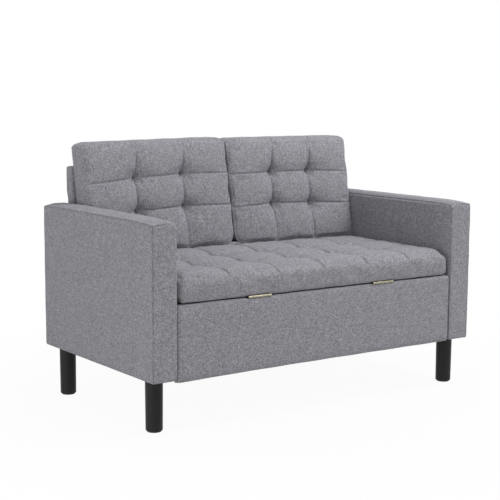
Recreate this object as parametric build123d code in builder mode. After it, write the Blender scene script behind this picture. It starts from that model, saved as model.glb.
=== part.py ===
from build123d import *
import os
from math import cos, radians, sqrt, tan

os.makedirs("parts", exist_ok=True)

# Storage sofa in millimetres. The origin is on the floor under the middle of the sofa,
# with +X across it to the right as seen from the front, +Y to the back and +Z up.

# Overall size
overall_width = 1170
overall_depth = 645
leg_height = 150
arm_top = 580
back_top = 700

# Clearances
joint_gap = 0.2  # glue line between battens
soft_gap = 0.3  # between soft pieces that rest on each other
bolt_gap = 0.3  # round bolts and tee nuts
thread_gap = 0.05  # round threads and hinge pins
side_gap = 2  # beside the back and the front panel
seat_gap = 8  # beside the seat
seat_rear_gap = 6  # behind the seat

# Timber and boards
batten = 40
hardboard = 3
base_board = 15
bearer = 20
floor_board = 6

# Rounded edges, as shares of the radii that they are limited by
padding_share = 0.75  # of the largest radius that leaves padding over the timber
end_edge_share = 0.8  # of the radius that they run into

# Arms: batten frames faced with hardboard, wadded and covered in cloth
arm_width = 78
arm_side_padding = 5
arm_top_padding = 14
arm_front_padding = 10
arm_rear_padding = 5
arm_under_cloth = 2
arm_edge_radius = 10

# Back: a thinner frame of the same make, standing between the arms
back_thickness = 40
back_padding = 4
back_top_padding = 10
back_under_cloth = 2
back_mid_post = 150  # from the middle to each inner post

# Front panel and base
panel_recess = 4
panel_padding = 4
panel_cloth = 1.5
panel_board = 12
panel_drop = 4  # below the arms
front_rail_depth = 25
base_lift = 15  # of the base boards above the arms' undersides

# Ledge that carries the back cushions behind the seat
ledge_depth = 123  # in front of the back
ledge_height = 445
ledge_pad = 6
ledge_board_thickness = 12
riser_drop = 55  # of the riser below the top of the base
rest_rail_depth = 40
rest_pad_size = (40, 18)
rest_pad_setback = 2  # from the front of its rail
ledge_pad_gap = 2  # under the pad's front

# Seat lid
seat_crown = 454  # height of the crown of each tufted square
seat_channel = 8  # depth of a sewn channel below the crowns
seat_tuft = 18  # depth of a tuft, where two channels cross
seat_edge = 20  # fall of the top at the front and rear edges
seat_end = 26  # fall of the top at the two ends
seat_shoulder = 24  # distance over which the ends round over
seat_columns = 6
seat_cross_seams = (185, 323)  # from the front of the seat
seat_nose_radius = 10
seat_front_roll = 7  # lean of the front face at its top
seat_front_bow = 1  # bow of the front face
seat_cover = 3
seat_board = 15
seat_board_inset = 12
lining = 1
lining_inset = 6

# Back cushions
cushion_lean = 10.6
cushion_height = 332
cushion_thickness = 68  # at the side seams
cushion_arm_gap = 3
cushion_middle_gap = 3
cushion_crown = 27  # crown of each tufted square, in front of the side seams
cushion_channel = 11
cushion_tuft = 23
cushion_end_draw = 13  # how far the top and bottom ends draw in
cushion_end_round = 17  # height over which they do
cushion_end_dip = 1  # of the channels at the ends
cushion_side_bow = 6
cushion_columns = 3
cushion_rows = 3
cushion_cover = 2.5

# Hinges
seat_split = 358  # height of the hinge pins
hinge_offset = 230  # from the middle of the sofa to the middle of each hinge
hinge_length = 80
knuckles = 5
knuckle_radius = 4
knuckle_gap = 0.4
pin_radius = 2
pin_tip = 1
leaf_thickness = 1.6
leaf_gap = 1.8
leaf_width = 34
hinge_screw_spacing = 28
hinge_screw_setback = 24  # from the pin
hinge_screw_radius = 1.6
hinge_screw_head_radius = 3.1
hinge_screw_length = 13

# Legs
leg_top_radius = 25
leg_bottom_radius = 24
leg_setback = 60  # from the front of the sofa
rear_leg_setback = 67  # from the back
leg_chamfer = 1.5
glide_radius = 21
glide_thickness = 3.5

# Bolts, washers and tee nuts, all M8
bolt_radius = 4
bolt_head_radius = 7
bolt_head_height = 4.5
bolt_socket = 5  # across the flats
bolt_socket_depth = 2.5
washer_radius = 10
washer_thickness = 1.6
tee_nut_flange_radius = 10
tee_nut_flange = 1.5
tee_nut_radius = 5.2
tee_nut_length = 12
bolt_end_gap = 1  # between the end of a bolt and the face of its tee nut
bolt_drop = 35  # of the bolts below the top of the base
arm_bolt_front = 90  # first arm bolt, from the front of the sofa
arm_bolt_spacing = 190
arm_bolt_count = 3
back_bolt_spots = (80, 380)  # from the middle, on both sides
leg_bolt_depth = 45  # in the leg


def padded_radius(padding, other_padding):
    """Edge radius that leaves padding over the square timber corner under it."""
    largest = padding + other_padding + sqrt(2 * padding * other_padding)
    return padding_share * largest


# Places worked out from the sizes above
front = -overall_depth / 2
rear = overall_depth / 2
sides = (("left", -1), ("right", 1))

arm_outer = overall_width / 2
arm_inner = arm_outer - arm_width
arm_middle = (arm_inner + arm_outer) / 2
arm_roll_radius = padded_radius(arm_side_padding, arm_top_padding)
arm_end_radius = end_edge_share * arm_edge_radius

panel_top = seat_split - leaf_gap / 2 - leaf_thickness
lid_bottom = seat_split + leaf_gap / 2 + leaf_thickness
panel_face = front + panel_recess
panel_rear = panel_face + panel_padding + panel_board
panel_bottom = leg_height - panel_drop
panel_half = arm_inner - side_gap
front_rail_rear = panel_rear + front_rail_depth
rail_top = panel_top - panel_cloth

base_half = arm_inner - base_board
base_bottom = leg_height + base_lift
base_top = panel_top
floor_bottom = base_bottom + bearer
bolt_height = base_top - bolt_drop

back_front = rear - back_thickness
back_half = arm_inner - side_gap
back_corner_radius = padded_radius(back_padding, back_padding)
back_edge_radius = end_edge_share * back_corner_radius
rear_board_front = back_front - base_board

ledge_front = back_front - ledge_depth
riser_front = ledge_front + ledge_pad
ledge_board_top = ledge_height - ledge_pad
ledge_board_bottom = ledge_board_top - ledge_board_thickness
rest_rail_front = riser_front - rest_rail_depth

seat_half = arm_inner - seat_gap
seat_front = panel_face
seat_rear = ledge_front - seat_rear_gap
seat_floor = lid_bottom + lining

hinge_y = panel_face
knuckle_length = hinge_length / knuckles

cushion_bottom = ledge_height + soft_gap
cushion_slope = tan(radians(cushion_lean))
lean_y = back_front + back_edge_radius  # the cushions lean on the rounded top edge of the back
lean_z = back_top - back_edge_radius
lean_reach = (back_edge_radius + soft_gap) / cos(radians(cushion_lean))
cushion_rear = lean_y - lean_reach - cushion_slope * (lean_z - cushion_bottom)
cushion_front = cushion_rear - cushion_thickness
cushion_width = arm_inner - cushion_arm_gap - cushion_middle_gap / 2
cushion_middle = (arm_inner - cushion_arm_gap + cushion_middle_gap / 2) / 2

tee_nut_hole = tee_nut_radius + bolt_gap
tee_nut_seat = tee_nut_flange_radius + bolt_gap
bolt_hole = bolt_radius + bolt_gap


def span(middle, width):
    """Two limits, one half of the width to each side of the middle."""
    return (middle - width / 2, middle + width / 2)


def sided(side, near, far):
    """Two limits across the sofa, at the given distances from its middle on one side."""
    return sorted((side * near, side * far))


def block(x, y, z, mode=Mode.ADD):
    """A rectangular block between three pairs of limits."""
    with Locations(((x[0] + x[1]) / 2, (y[0] + y[1]) / 2, (z[0] + z[1]) / 2)):
        Box(x[1] - x[0], y[1] - y[0], z[1] - z[0], mode=mode)


def write(piece, name):
    """Label a finished piece and write it as its own node."""
    piece.part.label = name
    export_step(piece.part, f"parts/{name}.step")


# Where the fasteners go. Each place stands on the face that the fastener is driven from,
# with its Z pointing back towards the person who drives it.
arm_bolt_rows = [front + arm_bolt_front + i * arm_bolt_spacing for i in range(arm_bolt_count)]
arm_bolts_at = {
    side: [Location((side * base_half, y, bolt_height), (0, -90 * side, 0)) for y in arm_bolt_rows]
    for name, side in sides
}
arm_core = (arm_inner + arm_side_padding, arm_outer - arm_side_padding)
arm_timber = (arm_core[0] + hardboard, arm_core[1] - hardboard)
arm_nuts_at = {
    side: [Location((side * arm_timber[1], y, bolt_height), (0, 90 * side, 0)) for y in arm_bolt_rows]
    for name, side in sides
}
back_core = (back_front + back_padding, rear - back_padding)
back_timber = (back_core[0] + hardboard, back_core[1] - hardboard)
back_bolt_columns = [side * x for name, side in sides for x in back_bolt_spots]
back_bolts_at = [Location((x, rear_board_front, bolt_height), (90, 0, 0)) for x in back_bolt_columns]
back_nuts_at = [Location((x, back_timber[1], bolt_height), (-90, 0, 0)) for x in back_bolt_columns]
leg_rows = (("front", front + leg_setback), ("rear", rear - rear_leg_setback))
arm_rail_top = leg_height + arm_under_cloth + batten
legs_at = {
    side: [Location((side * arm_middle, y, leg_height)) for row, y in leg_rows] for name, side in sides
}
leg_nuts_at = {
    side: [Location((side * arm_middle, y, arm_rail_top)) for row, y in leg_rows] for name, side in sides
}
hinge_middles = {side: side * hinge_offset for name, side in sides}
hinge_screw_y = hinge_y + hinge_screw_setback
lower_screw_top = seat_split - leaf_gap / 2
upper_screw_top = seat_split + leaf_gap / 2
hinge_screw_columns = {
    side: [hinge_middles[side] + step * hinge_screw_spacing for step in (-1, 0, 1)] for name, side in sides
}
lower_screws_at = {
    side: [Location((x, hinge_screw_y, lower_screw_top)) for x in hinge_screw_columns[side]]
    for name, side in sides
}
upper_screws_at = {
    side: [Location((x, hinge_screw_y, upper_screw_top), (180, 0, 0)) for x in hinge_screw_columns[side]]
    for name, side in sides
}
all_lower_screws_at = lower_screws_at[-1] + lower_screws_at[1]
all_upper_screws_at = upper_screws_at[-1] + upper_screws_at[1]


# Arms
arm_core_y = (front + arm_front_padding, rear - arm_rear_padding)
arm_core_z = (leg_height + arm_under_cloth, arm_top - arm_top_padding)
for name, side in sides:
    with BuildPart() as arm_cover:
        with BuildSketch(Plane.XZ.offset(-front)) as arm_outline:
            with Locations((side * arm_middle, (leg_height + arm_top) / 2)):
                Rectangle(arm_width, arm_top - leg_height)
            top_corners = arm_outline.vertices().group_by(Axis.Y)[-1].sort_by(Axis.X)
            inner_corner, outer_corner = top_corners if side > 0 else reversed(top_corners)
            fillet(inner_corner, arm_roll_radius)
            fillet(outer_corner, arm_edge_radius)
        extrude(amount=-overall_depth)
        fillet(arm_cover.faces().sort_by(Axis.Y)[0].edges(), arm_end_radius)
        fillet(arm_cover.faces().sort_by(Axis.Y)[-1].edges(), arm_end_radius)
        block(sided(side, *arm_core), arm_core_y, arm_core_z, mode=Mode.SUBTRACT)
        with Locations(*arm_bolts_at[side]):
            Hole(bolt_hole, depth=base_board + arm_side_padding + hardboard)
        with Locations(*legs_at[side]):
            with Locations((0, 0, arm_under_cloth)):
                Hole(bolt_hole, depth=arm_under_cloth)
    write(arm_cover, f"{name}_arm_cover")

    with BuildPart() as arm_inner_board:
        block(sided(side, arm_core[0], arm_timber[0]), arm_core_y, arm_core_z)
        with Locations(*arm_bolts_at[side]):
            Hole(bolt_hole, depth=base_board + arm_side_padding + hardboard)
    write(arm_inner_board, f"{name}_arm_inner_board")

    with BuildPart() as arm_outer_board:
        block(sided(side, arm_timber[1], arm_core[1]), arm_core_y, arm_core_z)
    write(arm_outer_board, f"{name}_arm_outer_board")

    with BuildPart() as arm_frame:
        timber = sided(side, *arm_timber)
        post_z = (arm_core_z[0] + batten + joint_gap, arm_core_z[1] - batten - joint_gap)
        rail_y = (arm_core_y[0] + batten + joint_gap, arm_core_y[1] - batten - joint_gap)
        block(timber, arm_core_y, (arm_core_z[0], arm_core_z[0] + batten))
        block(timber, arm_core_y, (arm_core_z[1] - batten, arm_core_z[1]))
        block(timber, (arm_core_y[0], arm_core_y[0] + batten), post_z)
        block(timber, (arm_core_y[1] - batten, arm_core_y[1]), post_z)
        block(timber, rail_y, span(bolt_height, batten))
        with Locations(*arm_nuts_at[side]):
            CounterBoreHole(tee_nut_hole, tee_nut_seat, tee_nut_flange, depth=arm_width)
        with Locations(*leg_nuts_at[side]):
            CounterBoreHole(tee_nut_hole, tee_nut_seat, tee_nut_flange, depth=batten)
    write(arm_frame, f"{name}_arm_frame")


# Back
back_core_x = (-back_half + back_padding, back_half - back_padding)
back_core_z = (leg_height + back_under_cloth, back_top - back_top_padding)
with BuildPart() as back_cover:
    block((-back_half, back_half), (back_front, rear), (leg_height, back_top))
    fillet(back_cover.edges().filter_by(Axis.Z), back_corner_radius)
    fillet(back_cover.faces().sort_by(Axis.Z)[-1].edges(), back_edge_radius)
    block(back_core_x, back_core, back_core_z, mode=Mode.SUBTRACT)
    with Locations(*back_bolts_at):
        Hole(bolt_hole, depth=base_board + back_padding + hardboard)
write(back_cover, "back_cover")

with BuildPart() as back_front_board:
    block(back_core_x, (back_core[0], back_timber[0]), back_core_z)
    with Locations(*back_bolts_at):
        Hole(bolt_hole, depth=base_board + back_padding + hardboard)
write(back_front_board, "back_front_board")

with BuildPart() as back_rear_board:
    block(back_core_x, (back_timber[1], back_core[1]), back_core_z)
write(back_rear_board, "back_rear_board")

with BuildPart() as back_frame:
    rail_x = (back_core_x[0] + batten + joint_gap, back_core_x[1] - batten - joint_gap)
    bottom_rail_top = back_core_z[0] + batten
    top_rail_bottom = back_core_z[1] - batten
    mid_rail_z = span(bolt_height, batten)
    block(back_core_x, back_timber, (back_core_z[0], bottom_rail_top))
    block(back_core_x, back_timber, (top_rail_bottom, back_core_z[1]))
    post_z = (bottom_rail_top + joint_gap, top_rail_bottom - joint_gap)
    block((back_core_x[0], back_core_x[0] + batten), back_timber, post_z)
    block((back_core_x[1] - batten, back_core_x[1]), back_timber, post_z)
    block(rail_x, back_timber, mid_rail_z)
    for name, side in sides:
        post_x = span(side * back_mid_post, batten)
        block(post_x, back_timber, (bottom_rail_top + joint_gap, mid_rail_z[0] - joint_gap))
        block(post_x, back_timber, (mid_rail_z[1] + joint_gap, top_rail_bottom - joint_gap))
    with Locations(*back_nuts_at):
        CounterBoreHole(tee_nut_hole, tee_nut_seat, tee_nut_flange, depth=back_thickness)
write(back_frame, "back_frame")


# Front panel: a wadded board whose cloth is turned over the front rail behind it
board_half = panel_half - panel_cloth
board_y = (panel_face + panel_padding, panel_rear)
board_z = (panel_bottom + panel_cloth, rail_top)
with BuildPart() as front_panel_cover:
    block((-panel_half, panel_half), (panel_face, panel_rear), (panel_bottom, panel_top))
    fillet(front_panel_cover.faces().sort_by(Axis.Y)[0].edges(), padded_radius(panel_padding, panel_cloth))
    block((-board_half, board_half), board_y, board_z, mode=Mode.SUBTRACT)
    block((-base_half, base_half), (panel_rear, front_rail_rear), (rail_top, panel_top))
    with Locations(*all_lower_screws_at):
        Hole(hinge_screw_radius + thread_gap, depth=hinge_screw_length)
write(front_panel_cover, "front_panel_cover")

with BuildPart() as front_panel_board:
    block((-board_half, board_half), board_y, board_z)
write(front_panel_board, "front_panel_board")

with BuildPart() as front_rail:
    block((-base_half, base_half), (panel_rear, front_rail_rear), (rail_top - batten, rail_top))
    with Locations(*all_lower_screws_at):
        Hole(hinge_screw_radius + thread_gap, depth=hinge_screw_length)
write(front_rail, "front_rail")


# Base: side boards bolted to the arms, a rear board bolted to the back, and the storage floor
for name, side in sides:
    with BuildPart() as base_side_board:
        block(sided(side, base_half, arm_inner), (panel_rear, back_front), (base_bottom, base_top))
        with Locations(*arm_bolts_at[side]):
            Hole(bolt_hole, depth=base_board)
    write(base_side_board, f"{name}_base_board")

with BuildPart() as base_rear_board:
    block((-base_half, base_half), (rear_board_front, back_front), (base_bottom, ledge_board_bottom))
    with Locations(*back_bolts_at):
        Hole(bolt_hole, depth=base_board)
write(base_rear_board, "base_rear_board")

well_y = (panel_rear, rear_board_front)
with BuildPart() as floor_ledgers:
    for name, side in sides:
        block(sided(side, base_half - bearer, base_half), well_y, (base_bottom, floor_bottom))
write(floor_ledgers, "floor_ledgers")

with BuildPart() as floor_bearers:
    for name, side in sides:
        block(span(side * base_half / 3, bearer), well_y, (base_bottom, floor_bottom))
write(floor_bearers, "floor_bearers")

with BuildPart() as storage_floor:
    block((-base_half, base_half), well_y, (floor_bottom, floor_bottom + floor_board))
write(storage_floor, "storage_floor")


# Ledge behind the seat, with the rail and felt pads that the seat closes on
riser_y = (riser_front, riser_front + base_board)
with BuildPart() as ledge_riser:
    block((-base_half, base_half), riser_y, (base_top - riser_drop, ledge_board_bottom))
write(ledge_riser, "ledge_riser")

with BuildPart() as ledge_board:
    block((-back_half, back_half), (riser_front, back_front), (ledge_board_bottom, ledge_board_top))
write(ledge_board, "ledge_board")

with BuildPart() as ledge_pad_piece:
    block((-back_half, back_half), (ledge_front, back_front), (ledge_board_top, ledge_height))
    block((-back_half, back_half), (ledge_front, riser_front), (base_top + ledge_pad_gap, ledge_board_top))
    pad_nose = ledge_pad_piece.edges().filter_by(Axis.X).group_by(Axis.Z)[-1].sort_by(Axis.Y)[0]
    fillet(pad_nose, padding_share * ledge_pad)
write(ledge_pad_piece, "ledge_pad")

with BuildPart() as lid_rest_rail:
    block((-base_half, base_half), (rest_rail_front, riser_front), (base_top - bearer, base_top))
write(lid_rest_rail, "lid_rest_rail")

with BuildPart() as lid_rest_pads:
    pad_width, pad_depth = rest_pad_size
    pad_front = rest_rail_front + rest_pad_setback
    for step in (-1, 0, 1):
        pad_x = span(step * 2 * base_half / 3, pad_width)
        block(pad_x, (pad_front, pad_front + pad_depth), (base_top, lid_bottom))
write(lid_rest_pads, "lid_rest_pads")


# Legs, each turned with a slight taper and screwed up into an arm
with BuildPart() as leg_blank:
    with Locations((0, 0, glide_thickness)):
        Cone(
            leg_bottom_radius,
            leg_top_radius,
            leg_height - glide_thickness,
            align=(Align.CENTER, Align.CENTER, Align.MIN),
        )
    chamfer(leg_blank.edges().group_by(Axis.Z)[0], leg_chamfer)
    with Locations((0, 0, leg_height)):
        Hole(bolt_radius + thread_gap, depth=leg_bolt_depth + bolt_end_gap)

for name, side in sides:
    for row, y in leg_rows:
        with BuildPart() as leg:
            with Locations((side * arm_middle, y, 0)):
                add(leg_blank.part)
        write(leg, f"{row}_{name}_leg")

all_legs_at = legs_at[-1] + legs_at[1]
with BuildPart() as leg_glides:
    with Locations(*all_legs_at):
        with Locations((0, 0, -leg_height)):
            Cylinder(glide_radius, glide_thickness, align=(Align.CENTER, Align.CENTER, Align.MIN))
    chamfer(leg_glides.edges().filter_by(GeomType.CIRCLE).group_by(Axis.Z)[0], glide_thickness / 3)
write(leg_glides, "leg_glides")

leg_bolt_top = arm_under_cloth + batten - bolt_end_gap
with BuildPart() as leg_bolts:
    with Locations(*all_legs_at):
        with Locations((0, 0, -leg_bolt_depth)):
            Cylinder(
                bolt_radius,
                leg_bolt_depth + leg_bolt_top,
                align=(Align.CENTER, Align.CENTER, Align.MIN),
            )
    chamfer(leg_bolts.edges().filter_by(GeomType.CIRCLE), bolt_radius / 5)
write(leg_bolts, "leg_bolts")


def tee_nuts(places):
    """Tee nuts let in flush at the given places."""
    with BuildPart() as nuts:
        with Locations(*places):
            Cylinder(tee_nut_flange_radius, tee_nut_flange, align=(Align.CENTER, Align.CENTER, Align.MAX))
            Cylinder(
                tee_nut_radius,
                tee_nut_flange + tee_nut_length,
                align=(Align.CENTER, Align.CENTER, Align.MAX),
            )
        with Locations(*places):
            Hole(bolt_radius + thread_gap, depth=tee_nut_flange + tee_nut_length)
    return nuts


def socket_bolts(places, length):
    """Button-head bolts on washers at the given places, reaching length past the face."""
    with BuildPart() as bolts:
        with Locations(*places):
            with Locations((0, 0, washer_thickness)):
                Cylinder(
                    bolt_radius,
                    length + washer_thickness,
                    align=(Align.CENTER, Align.CENTER, Align.MAX),
                )
                Cylinder(bolt_head_radius, bolt_head_height, align=(Align.CENTER, Align.CENTER, Align.MIN))
        head_planes = [Plane(place).offset(washer_thickness + bolt_head_height) for place in places]
        with BuildSketch(*head_planes):
            RegularPolygon(bolt_socket / 2, 6, major_radius=False)
        extrude(amount=-bolt_socket_depth, mode=Mode.SUBTRACT)
    return bolts


def washers(places):
    """Flat washers at the given places."""
    with BuildPart() as rings:
        with Locations(*places):
            Cylinder(washer_radius, washer_thickness, align=(Align.CENTER, Align.CENTER, Align.MIN))
        with Locations(*places):
            with Locations((0, 0, washer_thickness)):
                Hole(bolt_hole, depth=washer_thickness)
    return rings


write(tee_nuts(leg_nuts_at[-1] + leg_nuts_at[1]), "leg_tee_nuts")

all_arm_bolts_at = arm_bolts_at[-1] + arm_bolts_at[1]
arm_bolt_length = arm_timber[1] - base_half - bolt_end_gap
write(socket_bolts(all_arm_bolts_at, arm_bolt_length), "arm_bolts")
write(washers(all_arm_bolts_at), "arm_washers")
write(tee_nuts(arm_nuts_at[-1] + arm_nuts_at[1]), "arm_tee_nuts")

back_bolt_length = back_timber[1] - rear_board_front - bolt_end_gap
write(socket_bolts(back_bolts_at, back_bolt_length), "back_bolts")
write(washers(back_bolts_at), "back_washers")
write(tee_nuts(back_nuts_at), "back_tee_nuts")


# Butt hinges between the front panel and the seat
def hinge_leaf(middle, first_knuckle, level, screws):
    """One leaf of a butt hinge, with every second knuckle from the given one."""
    plate_front = hinge_y + knuckle_radius + knuckle_gap
    with BuildPart() as leaf:
        block(span(middle, hinge_length), (plate_front, hinge_y + leaf_width), level)
        for i in range(first_knuckle, knuckles, 2):
            x = middle + (i + 0.5) * knuckle_length - hinge_length / 2
            block(span(x, knuckle_length - knuckle_gap), (hinge_y, plate_front), level)
            with Locations(Location((x, hinge_y, seat_split), (0, 90, 0))):
                Cylinder(knuckle_radius, knuckle_length - knuckle_gap)
        with Locations(Location((middle, hinge_y, seat_split), (0, 90, 0))):
            Cylinder(pin_radius + thread_gap, hinge_length, mode=Mode.SUBTRACT)
        with Locations(*screws):
            CounterSinkHole(
                hinge_screw_radius + thread_gap,
                hinge_screw_head_radius + thread_gap,
                depth=leaf_thickness,
                counter_sink_angle=90,
            )
    return leaf


def hinge_screws(places):
    """Countersunk wood screws at the given places."""
    head_height = hinge_screw_head_radius - hinge_screw_radius
    with BuildPart() as screws:
        with Locations(*places):
            Cylinder(hinge_screw_radius, hinge_screw_length, align=(Align.CENTER, Align.CENTER, Align.MAX))
            Cone(
                hinge_screw_radius,
                hinge_screw_head_radius,
                head_height,
                align=(Align.CENTER, Align.CENTER, Align.MAX),
            )
    return screws


lower_level = (panel_top, lower_screw_top)
upper_level = (upper_screw_top, lid_bottom)
for name, side in sides:
    middle = hinge_middles[side]
    write(hinge_leaf(middle, 0, lower_level, lower_screws_at[side]), f"{name}_hinge_lower_leaf")
    write(hinge_leaf(middle, 1, upper_level, upper_screws_at[side]), f"{name}_hinge_upper_leaf")
    with BuildPart() as hinge_pin:
        with Locations(Location((middle, hinge_y, seat_split), (0, 90, 0))):
            Cylinder(pin_radius, hinge_length + 2 * pin_tip)
        chamfer(hinge_pin.edges().filter_by(GeomType.CIRCLE), pin_tip / 2)
    write(hinge_pin, f"{name}_hinge_pin")
write(hinge_screws(all_lower_screws_at), "lower_hinge_screws")
write(hinge_screws(all_upper_screws_at), "upper_hinge_screws")


# Seat lid: lining, board, foam and a tufted cover
def seat_form(inset, floor):
    """The upholstered seat from the height of its floor up, drawn in all round by inset."""
    half = seat_half - inset
    cell = 2 * seat_half / seat_columns
    near = seat_front + inset
    far = seat_rear - inset
    crown = seat_crown - inset
    nose_z = lid_bottom + seat_nose_radius
    eighth = 1 - sqrt(0.5)  # how far in a quarter circle is at its middle
    stations = [(-half, seat_end, seat_channel / 4)]
    stations += [(-half + seat_shoulder, seat_end / 4, seat_channel / 2)]
    for i in range(1, 2 * seat_columns):
        on_seam = i % 2 == 0
        fall = seat_channel if on_seam else 0
        dip = seat_tuft - seat_channel if on_seam else seat_channel
        stations.append((-seat_half + i * cell / 2, fall, dip))
    stations += [(half - seat_shoulder, seat_end / 4, seat_channel / 2)]
    stations += [(half, seat_end, seat_channel / 4)]
    with BuildPart() as form:
        for x, fall, dip in stations:
            crest = crown - fall
            edge = crown - seat_edge - fall / 2
            front_edge = (near + seat_front_roll, edge)
            rear_edge = (far, edge)
            valleys = [(seat_front + seam, crest - dip) for seam in seat_cross_seams]
            joints = [front_edge, *valleys, rear_edge]
            with BuildSketch(Plane.YZ.offset(x)):
                with BuildLine():
                    Line((near + seat_nose_radius, floor), (far, floor))
                    Line((far, floor), rear_edge)
                    for start, end in zip(joints[1:], joints):
                        middle = ((start[0] + end[0]) / 2, crest)
                        ThreePointArc(start, middle, end)
                    nose_top = (near + seat_front_bow, nose_z)
                    ThreePointArc(front_edge, (near, (edge + nose_z) / 2), nose_top)
                    nose_middle = (near + eighth * seat_nose_radius, floor + eighth * (nose_z - floor))
                    ThreePointArc(nose_top, nose_middle, (near + seat_nose_radius, floor))
                make_face()
        loft()
    return form


board_x = (-seat_half + seat_board_inset, seat_half - seat_board_inset)
board_y = (seat_front + seat_board_inset, seat_rear - seat_board_inset)
with BuildPart() as seat_board_piece:
    block(board_x, board_y, (seat_floor, seat_floor + seat_board))
    with Locations(*all_upper_screws_at):
        Hole(hinge_screw_radius + thread_gap, depth=hinge_screw_length)
write(seat_board_piece, "seat_board")

with BuildPart() as seat_lining:
    lining_x = (-seat_half + lining_inset, seat_half - lining_inset)
    lining_y = (seat_front + seat_nose_radius + lining_inset, seat_rear - lining_inset)
    block(lining_x, lining_y, (lid_bottom, seat_floor))
    with Locations(*all_upper_screws_at):
        Hole(hinge_screw_radius + thread_gap, depth=hinge_screw_length)
write(seat_lining, "seat_lining")

seat_foam_form = seat_form(seat_cover + soft_gap, seat_floor)
with BuildPart() as seat_foam:
    add(seat_foam_form.part)
    block(board_x, board_y, (seat_floor, seat_floor + seat_board), mode=Mode.SUBTRACT)
write(seat_foam, "seat_foam")

seat_outer_form = seat_form(0, lid_bottom)
seat_inner_form = seat_form(seat_cover, lid_bottom)
with BuildPart() as seat_cover_piece:
    add(seat_outer_form.part)
    add(seat_inner_form.part, mode=Mode.SUBTRACT)
write(seat_cover_piece, "seat_cover")


# Back cushions: loose, tufted, leaning on the top of the back
def cushion_form(middle, inset):
    """A back cushion, drawn in all round by inset."""
    row = cushion_height / cushion_rows
    crown = cushion_crown - inset
    levels = [(inset, cushion_end_draw, crown / 3, cushion_end_dip)]
    levels += [(cushion_end_round, 0, 2 * crown / 3, cushion_channel / 2)]
    for i in range(1, 2 * cushion_rows):
        on_seam = i % 2 == 0
        crest = crown - cushion_channel if on_seam else crown
        dip = cushion_tuft - cushion_channel if on_seam else cushion_channel
        levels.append((i * row / 2, 0, crest, dip))
    levels += [(cushion_height - cushion_end_round, 0, 2 * crown / 3, cushion_channel / 2)]
    levels += [(cushion_height - inset, cushion_end_draw, crown / 3, cushion_end_dip)]
    with BuildPart() as form:
        for height, draw, crest, dip in levels:
            half = cushion_width / 2 - inset - draw / 2
            seam_y = cushion_front + cushion_slope * height
            near = seam_y + inset + draw
            far = seam_y + cushion_thickness - inset - draw / 2
            column = 2 * half / cushion_columns
            corner = half - cushion_side_bow
            joints = [(middle - corner, near)]
            joints += [(middle - half + i * column, near - crest + dip) for i in range(1, cushion_columns)]
            joints += [(middle + corner, near)]
            with BuildSketch(Plane.XY.offset(cushion_bottom + height)):
                with BuildLine():
                    for start, end in zip(joints, joints[1:]):
                        ThreePointArc(start, ((start[0] + end[0]) / 2, near - crest), end)
                    for bow, turn in ((half, 1), (-half, -1)):
                        ends = ((middle + turn * corner, near), (middle + turn * corner, far))
                        ThreePointArc(ends[0], (middle + bow, (near + far) / 2), ends[1])
                    Line((middle - corner, far), (middle + corner, far))
                make_face()
        loft()
    return form


for name, side in sides:
    outer_form = cushion_form(side * cushion_middle, 0)
    inner_form = cushion_form(side * cushion_middle, cushion_cover)
    with BuildPart() as cushion_cover_piece:
        add(outer_form.part)
        add(inner_form.part, mode=Mode.SUBTRACT)
    write(cushion_cover_piece, f"{name}_cushion_cover")
    fill_form = cushion_form(side * cushion_middle, cushion_cover + soft_gap)
    write(fill_form, f"{name}_cushion_fill")
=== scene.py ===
import math

import bpy
import numpy as np
from mathutils import Matrix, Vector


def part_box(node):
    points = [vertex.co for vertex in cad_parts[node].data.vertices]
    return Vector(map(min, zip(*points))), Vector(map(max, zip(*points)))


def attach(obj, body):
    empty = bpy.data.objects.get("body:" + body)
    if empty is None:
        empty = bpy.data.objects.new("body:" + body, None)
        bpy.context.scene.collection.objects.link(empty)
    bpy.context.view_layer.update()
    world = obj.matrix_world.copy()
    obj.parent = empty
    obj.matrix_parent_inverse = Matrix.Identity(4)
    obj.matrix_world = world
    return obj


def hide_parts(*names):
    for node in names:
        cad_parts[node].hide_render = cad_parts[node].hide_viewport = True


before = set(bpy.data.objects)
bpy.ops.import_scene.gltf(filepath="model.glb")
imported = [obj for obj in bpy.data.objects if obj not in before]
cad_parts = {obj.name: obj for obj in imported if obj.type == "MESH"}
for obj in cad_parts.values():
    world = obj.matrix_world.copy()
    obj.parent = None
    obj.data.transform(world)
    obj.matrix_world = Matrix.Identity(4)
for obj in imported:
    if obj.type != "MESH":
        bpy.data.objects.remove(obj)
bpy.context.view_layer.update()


# Timber carcass: planed pine battens, birch plywood boards and hardboard faces, glued, stapled and
# bolted. Most of it hides in the upholstery; the storage well and the underside show it bare.
def linear(hex_colour):
    """Linear RGBA of an sRGB hex colour."""
    shares = [int(hex_colour[i:i + 2], 16) / 255 for i in (1, 3, 5)]
    return [s / 12.92 if s <= 0.04045 else ((s + 0.055) / 1.055) ** 2.4 for s in shares] + [1]


def add_node(tree, kind, inputs=(), **settings):
    """Add a node. Inputs are socket values, or the sockets that they come from."""
    added = tree.nodes.new(kind)
    for name, value in settings.items():
        setattr(added, name, value)
    for name, value in dict(inputs).items():
        if isinstance(value, bpy.types.NodeSocket):
            tree.links.new(value, added.inputs[name])
        else:
            added.inputs[name].default_value = value
    return added


def start_material(name, **inputs):
    """A material with its Principled shader, whose inputs are given by name with _ for a space."""
    material = bpy.data.materials.new(name)
    material.use_nodes = True
    shader = material.node_tree.nodes["Principled BSDF"]
    for socket, value in inputs.items():
        shader.inputs[socket.replace("_", " ")].default_value = value
    return material, material.node_tree, shader


def per_metre(*sizes_mm):
    """Texture scales that repeat a pattern at these sizes, given in millimetres, along X, Y and Z."""
    return [1000 / size for size in sizes_mm]


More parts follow.
